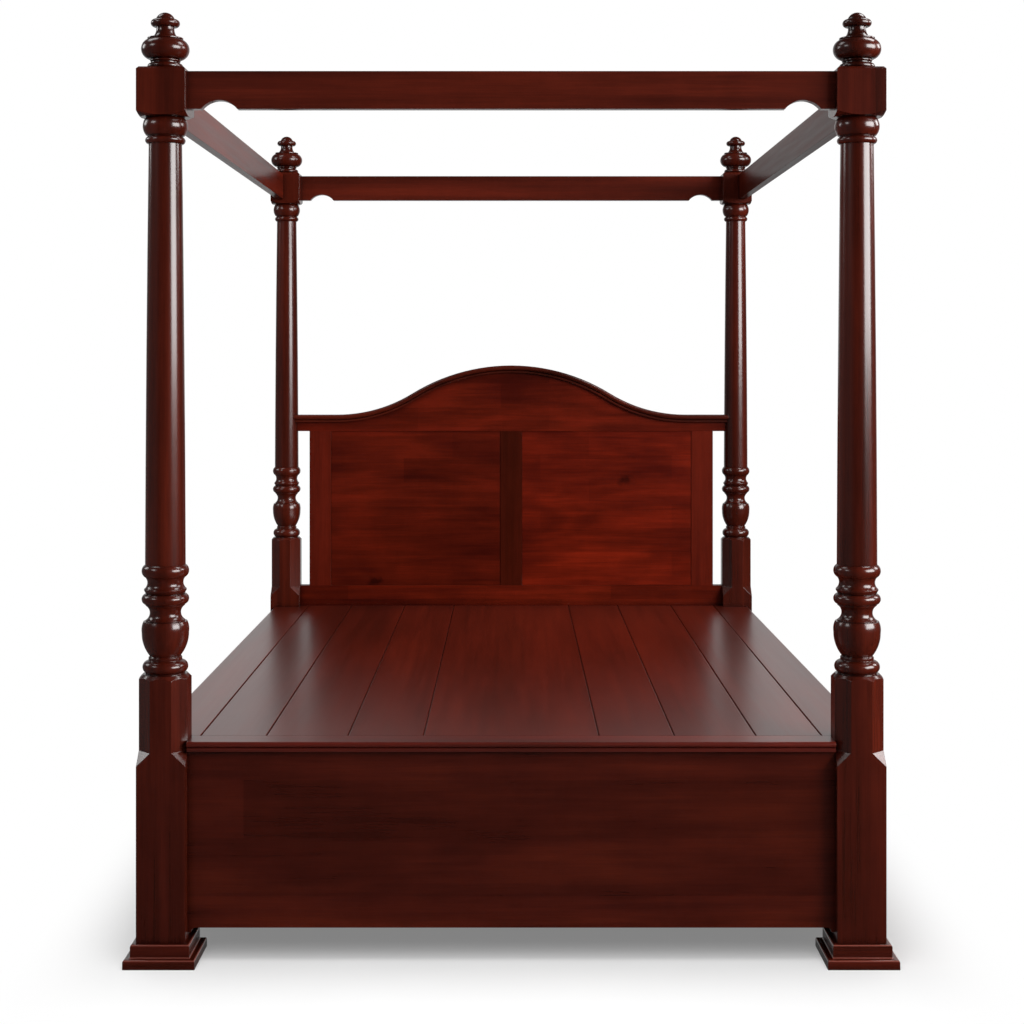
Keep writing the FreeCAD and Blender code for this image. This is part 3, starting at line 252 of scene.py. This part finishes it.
def knots(tree, colour):
    """A detail for mahogany: small dark whorls, about one in half a metre, drawn out along the grain."""
    face = panel_face(tree)
    wander = add(tree, "ShaderNodeTexNoise", {"Vector": face, "Scale": 1000 / 22}).outputs["Color"]
    bend = add(tree, "ShaderNodeVectorMath", {0: wander, "Scale": 0.03}, operation="SCALE").outputs[0]
    along_grain = (0.6, 1.0, 0.0)
    drawn_out = {0: face, 1: along_grain, 2: bend}
    bent = add(tree, "ShaderNodeVectorMath", drawn_out, operation="MULTIPLY_ADD").outputs[0]
    spaced = {"Vector": bent, "Scale": 1000 / 455}
    whorls = add(tree, "ShaderNodeTexVoronoi", spaced, voronoi_dimensions="2D").outputs["Distance"]
    return shade(tree, colour, whorls, darkest=0.4, lightest=1.0, low=0.01, high=0.05)


dull = 0.4
lively = {"gloss": dull, "cloud_length": 455, "figure_length": 385, "waviness": 0.5,
          "details": [staves(length=460, height=85), knots]}
dress(mahogany("headboard_mahogany", "X", dark="#340803", middle="#440e04", light="#561306", **lively),
      "headboard_panel_left", "headboard_crest", "headboard_bottom")
# Painted light: the right panel's tones are lighter, as the lamp on the right falls more on it.
dress(mahogany("headboard_right_painted_light_mahogany", "X", dark="#380803", middle="#490e04", light="#611506", **lively),
      "headboard_panel_right")
dress(mahogany("stile_mahogany", "Z", dark="#3c0c05", middle="#461006", light="#531408", gloss=dull),
      "headboard_stile")
dress(mahogany("muntin_mahogany", "Z", dark="#290802", middle="#340b03", light="#3f0e05", gloss=dull),
      "headboard_muntin")
dress(mahogany("cap_mahogany", "X"), "headboard_cap")


# Timber under the deck
# Ledgers along the panels and five bearers carry the deck, with a centre beam on three legs under them. All
# of it is planed and sealed but not stained to match, as it stays out of sight.

sealed = {"dark": "#4a2c1c", "middle": "#6a4129", "light": "#875638"}
dress(mahogany("sealed_timber_across", "X", **sealed), "cross_bearer", "foot_ledger", "head_ledger")
dress(mahogany("sealed_timber_along", "Y", **sealed), "side_ledger", "centre_beam")
dress(mahogany("sealed_timber_upright", "Z", **sealed), "centre_leg")


# Steel fittings
# Hook plates and slotted plates join the side rails to the posts, and a stud joins the two lengths of each
# post. They are pressed and turned from steel, with a dull zinc plating.

def zinc_plate():
    """Zinc plating: a grey metal whose spangle changes its tone and sheen every five or six millimetres."""
    material = bpy.data.materials.new("zinc_plate")
    material.use_nodes = True
    tree = material.node_tree
    shader = tree.nodes["Principled BSDF"]
    place = add(tree, "ShaderNodeTexCoord").outputs["Object"]
    spangle = add(tree, "ShaderNodeTexVoronoi", {"Vector": place, "Scale": 1000 / 5.5}).outputs["Distance"]
    grey = add(tree, "ShaderNodeValToRGB", {"Fac": spangle})
    grey.color_ramp.elements[0].color = linear("#8d9093")
    grey.color_ramp.elements[1].color = linear("#b4b6b7")
    sheen = add(tree, "ShaderNodeMapRange", {"Value": spangle, "To Min": 0.32, "To Max": 0.48})
    tree.links.new(grey.outputs["Color"], shader.inputs["Base Color"])
    tree.links.new(sheen.outputs[0], shader.inputs["Roughness"])
    shader.inputs["Metallic"].default_value = 1.0
    return material


dress(zinc_plate(), "post_joint_studs", "rail_hook_plates", "post_slot_plates")


# Floor
# A plain pale studio floor, painted matt, on which the bed stands. It keeps the bed's soft shadow and runs
# out into the white background, and it doesn't show in the lacquer.

def studio_floor(bed_corner):
    """Pale matt paint round the bed. About 0.3 m beside the bed and 0.6 m in front of it the camera sees
    plain white instead, so no horizon shows."""
    material = bpy.data.materials.new("studio_floor")
    material.use_nodes = True
    tree = material.node_tree
    tree.nodes.remove(tree.nodes["Principled BSDF"])
    place = add(tree, "ShaderNodeTexCoord").outputs["Object"]
    quarter = add(tree, "ShaderNodeVectorMath", {0: place}, operation="ABSOLUTE").outputs[0]
    past = add(tree, "ShaderNodeVectorMath", {0: quarter, 1: bed_corner}, operation="SUBTRACT").outputs[0]
    under_bed = (0.0, 0.0, 0.0)
    outside = add(tree, "ShaderNodeVectorMath", {0: past, 1: under_bed}, operation="MAXIMUM").outputs[0]
    fading = (1.3, 0.6, 0.0)
    reach = add(tree, "ShaderNodeVectorMath", {0: outside, 1: fading}, operation="MULTIPLY").outputs[0]
    away = add(tree, "ShaderNodeVectorMath", {0: reach}, operation="LENGTH").outputs["Value"]
    fade = add(tree, "ShaderNodeMapRange", {"Value": away, "From Max": 0.34, "To Min": 0.22},
               interpolation_type="SMOOTHSTEP").outputs[0]
    seen = add(tree, "ShaderNodeLightPath").outputs["Is Camera Ray"]
    white = add(tree, "ShaderNodeMath", {0: fade, 1: seen}, operation="MULTIPLY").outputs[0]
    patches = add(tree, "ShaderNodeTexNoise", {"Vector": place, "Scale": 1000 / 330}).outputs["Fac"]
    pale = add(tree, "ShaderNodeMapRange", {"Value": patches, "To Min": 0.73, "To Max": 0.77}).outputs[0]
    matt = add(tree, "ShaderNodeBsdfDiffuse", {"Color": pale}).outputs[0]
    glow = add(tree, "ShaderNodeEmission", {"Color": linear("#ffffff"), "Strength": 1.0}).outputs[0]
    mixed = add(tree, "ShaderNodeMixShader", {0: white, 1: matt, 2: glow}).outputs[0]
    tree.links.new(mixed, tree.nodes["Material Output"].inputs["Surface"])
    return material


half_width, half_length = bounds_before[1][:2]
floor_half = 12.0
floor_mesh = bpy.data.meshes.new("studio_floor")
floor_corners = [(x * floor_half, y * floor_half, 0.0) for x, y in ((-1, -1), (1, -1), (1, 1), (-1, 1))]
floor_mesh.from_pydata(floor_corners, [], [(0, 1, 2, 3)])
floor_mesh.materials.append(studio_floor((half_width, half_length, 0.0)))
floor = bpy.data.objects.new("studio_floor", floor_mesh)
bpy.context.scene.collection.objects.link(floor)
floor.visible_glossy = False


# Studio light
# A broad softbox on the right draws one bright streak down every column, and one high on the left glints
# in the beads. Two overhead and two beside the bed catch the chamfer stops of the foot posts. The fills
# show in no gloss. Two lamps light the floor alone, so that its soft shadow is even on both sides.

def lit_pieces(name, state):
    """What a lamp lights: the floor alone when the state is INCLUDE, and all but the floor on EXCLUDE."""
    pieces = bpy.data.collections.new(name)
    pieces.objects.link(floor)
    pieces.collection_objects[0].light_linking.link_state = state
    return pieces


floor_alone = lit_pieces("floor_alone", "INCLUDE")
bed_alone = lit_pieces("bed_alone", "EXCLUDE")


def softbox(name, place, aim, size, power, mirrored=True, lit=bed_alone):
    """A rectangular lamp aimed at a point, for the pieces given; if not mirrored, it shows in no gloss."""
    lamp = bpy.data.lights.new(name, "AREA")
    lamp.shape = "RECTANGLE"
    lamp.size, lamp.size_y = size
    lamp.energy = power
    box = bpy.data.objects.new(name, lamp)
    box.location = place
    box.rotation_euler = (Vector(aim) - Vector(place)).to_track_quat("-Z", "Y").to_euler()
    box.visible_glossy = mirrored
    box.light_linking.receiver_collection = lit
    bpy.context.scene.collection.objects.link(box)


left_stop = (-0.80, -1.12, 0.46)
right_stop = (0.80, -1.12, 0.46)
fill = {"mirrored": False}
on_floor = {"mirrored": False, "lit": floor_alone}
softbox("softbox_right", (4.6, -3.3, 2.6), (0.0, -0.5, 1.4), size=(3.8, 2.4), power=500)
softbox("softbox_left", (-4.4, -3.6, 3.7), (0.0, -1.0, 1.0), size=(1.6, 1.0), power=40)
softbox("softbox_high_right", (2.3, -0.35, 4.5), left_stop, size=(1.3, 1.3), power=55)
softbox("softbox_high_left", (-2.3, -0.35, 4.5), right_stop, size=(1.3, 1.3), power=24)
softbox("softbox_beside_right", (4.7, 0.6, 3.05), right_stop, size=(1.4, 1.4), power=70)
softbox("softbox_beside_left", (-4.7, 0.6, 3.05), left_stop, size=(1.4, 1.4), power=35)
softbox("softbox_right_fill", (5.6, -1.2, 2.4), (0.0, -0.5, 1.0), size=(2.2, 2.4), power=200, **fill)
softbox("softbox_front", (-2.5, -6.5, 2.6), (0.0, -1.0, 0.8), size=(4.0, 3.0), power=24, **fill)
softbox("softbox_back", (-1.0, 7.0, 2.8), (0.0, 1.0, 0.9), size=(5.0, 3.0), power=220, **fill)
softbox("softbox_top", (0.0, 0.0, 5.4), (0.0, 0.0, 0.0), size=(5.0, 5.0), power=90, **fill)
softbox("floor_top", (0.0, -1.0, 5.4), (0.0, -1.0, 0.0), size=(5.0, 5.0), power=345, **on_floor)
softbox("floor_front", (0.0, -4.6, 3.6), (0.0, -1.1, 0.0), size=(6.0, 3.0), power=165, **on_floor)


# White background
# The camera sees plain white. The lacquer sees it too behind the bed, down to a little below the horizon,
# and a dim wall on the left. The studio in front is dark, so the lacquer keeps its depth where it faces the
# camera and turns pale at a grazing angle.

world = bpy.data.worlds.new("studio_world")
bpy.context.scene.world = world
world.use_nodes = True
sky = world.node_tree
toward = add(sky, "ShaderNodeTexCoord").outputs["Generated"]
axes = add(sky, "ShaderNodeSeparateXYZ", {0: toward}).outputs
to_back = {"Value": axes["Y"], "From Min": 0.7, "From Max": 0.95, "To Min": 0.02, "To Max": 0.65}
to_floor = {"Value": axes["Z"], "From Min": -0.3, "From Max": -0.16, "To Min": 0.15, "To Max": 1.0}
to_left = {"Value": axes["X"], "From Min": -0.4, "From Max": -0.75, "To Min": 0.0, "To Max": 0.13}
behind, above_floor, left_wall = [add(sky, "ShaderNodeMapRange", part).outputs[0]
                                  for part in (to_back, to_floor, to_left)]
backdrop = add(sky, "ShaderNodeMath", {0: behind, 1: above_floor}, operation="MULTIPLY").outputs[0]
surroundings = add(sky, "ShaderNodeMath", {0: backdrop, 1: left_wall}, operation="MAXIMUM").outputs[0]
path = add(sky, "ShaderNodeLightPath").outputs
mirror_rays = {0: path["Is Glossy Ray"], 1: path["Is Transmission Ray"]}
mirrored = add(sky, "ShaderNodeMath", mirror_rays, operation="MAXIMUM").outputs[0]
fill_level = 0.11
level = add(sky, "ShaderNodeMix", {0: mirrored, 2: fill_level, 3: surroundings}).outputs[0]
level = add(sky, "ShaderNodeMath", {0: level, 1: path["Is Camera Ray"]}, operation="MAXIMUM").outputs[0]
sky.links.new(level, sky.nodes["Background"].inputs["Strength"])
sky.nodes["Background"].inputs["Color"].default_value = linear("#ffffff")


# Camera
# It looks level from the foot end, at the height of the headboard's crest, with the frame shifted down so
# that the posts stay upright in the picture.

image_width = 1024
focal_pixels = 1717
horizon_row = 362
centre_column = 511.2
eye_distance = 4.9555
eye_height = 1.349
camera_data = bpy.data.cameras.new("camera")
camera_data.sensor_width = 36.0
camera_data.lens = camera_data.sensor_width * focal_pixels / image_width
camera_data.shift_x = (image_width / 2 - centre_column) / image_width
camera_data.shift_y = (horizon_row - image_width / 2) / image_width
camera = bpy.data.objects.new("camera", camera_data)
camera.location = (0.0, -eye_distance, eye_height)
camera.rotation_euler = (math.radians(90), 0.0, 0.0)
bpy.context.scene.collection.objects.link(camera)
bpy.context.scene.camera = camera
bpy.context.scene.view_settings.view_transform = "Standard"
